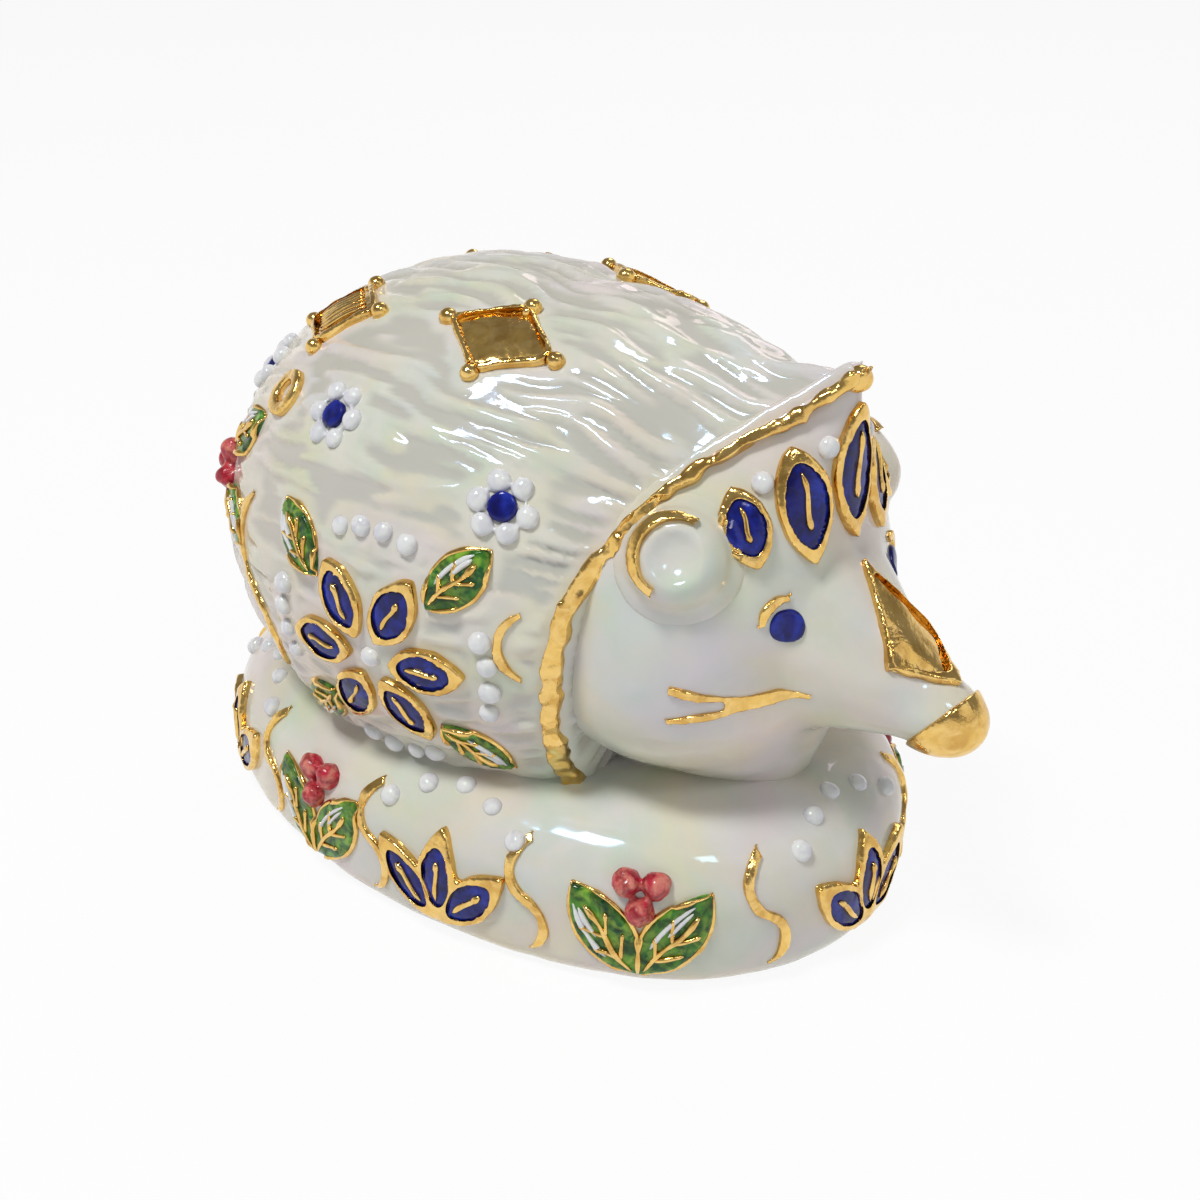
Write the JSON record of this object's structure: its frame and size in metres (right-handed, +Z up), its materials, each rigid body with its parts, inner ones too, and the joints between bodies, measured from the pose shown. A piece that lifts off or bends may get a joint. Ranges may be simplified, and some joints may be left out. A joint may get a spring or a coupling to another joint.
{
  "type": "hedgehog figurine",
  "caption": "Free-standing glazed porcelain hedgehog on an oval cushion plinth, with raised gilding, coloured enamel leaves and petals, and pearl drops.",
  "frame": {"origin": "middle of the flat foot face, on the surface that the figurine stands on", "axes": "+X towards the nose, +Y towards the animal's left side, +Z up"},
  "size_m": [0.108, 0.0672, 0.0703],
  "materials": {
    "porcelain_glaze": "ivory lustre glaze, glossy, faintly iridescent",
    "gilding": "burnished gold over raised paste",
    "cobalt_enamel": "glossy deep cobalt blue enamel",
    "leaf_enamel": "glossy emerald to yellow-green enamel",
    "berry_enamel": "glossy mottled pink-red enamel",
    "pearl_enamel": "pearly white raised enamel"
  },
  "bodies": {
    "root": {"base_plinth": "porcelain_glaze", "body_mantle": "porcelain_glaze", "head_face": "porcelain_glaze", "ear_right": "porcelain_glaze", "ear_left": "porcelain_glaze", "nose_gilding": "gilding", "snout_panel": "gilding", "snout_panel_rim": "gilding", "brow_line_right": "gilding", "brow_line_left": "gilding", "mouth_line_right": "gilding", "mouth_line_left": "gilding", "ear_arc_right": "gilding", "ear_arc_left": "gilding", "quill_edge_gilding": "gilding", "forehead_lappet_rims": "gilding", "back_lozenges": "gilding", "back_lozenge_rims": "gilding", "back_lozenge_beads": "gilding", "back_bosses": "gilding", "flank_petal_rims": "gilding", "flank_scrolls": "gilding", "frieze_fan_rims": "gilding", "frieze_scrolls": "gilding", "eye_right": "cobalt_enamel", "eye_left": "cobalt_enamel", "forehead_lappets": "cobalt_enamel", "back_flower_centres": "cobalt_enamel", "flank_petals": "cobalt_enamel", "frieze_fans": "cobalt_enamel", "flank_leaves": "leaf_enamel", "rump_leaves": "leaf_enamel", "frieze_leaves": "leaf_enamel", "rump_berries": "berry_enamel", "frieze_berries": "berry_enamel", "forehead_pearls": "pearl_enamel", "back_flower_pearls": "pearl_enamel", "flank_pearls": "pearl_enamel", "frieze_pearls": "pearl_enamel"}
  },
  "joints": []
}
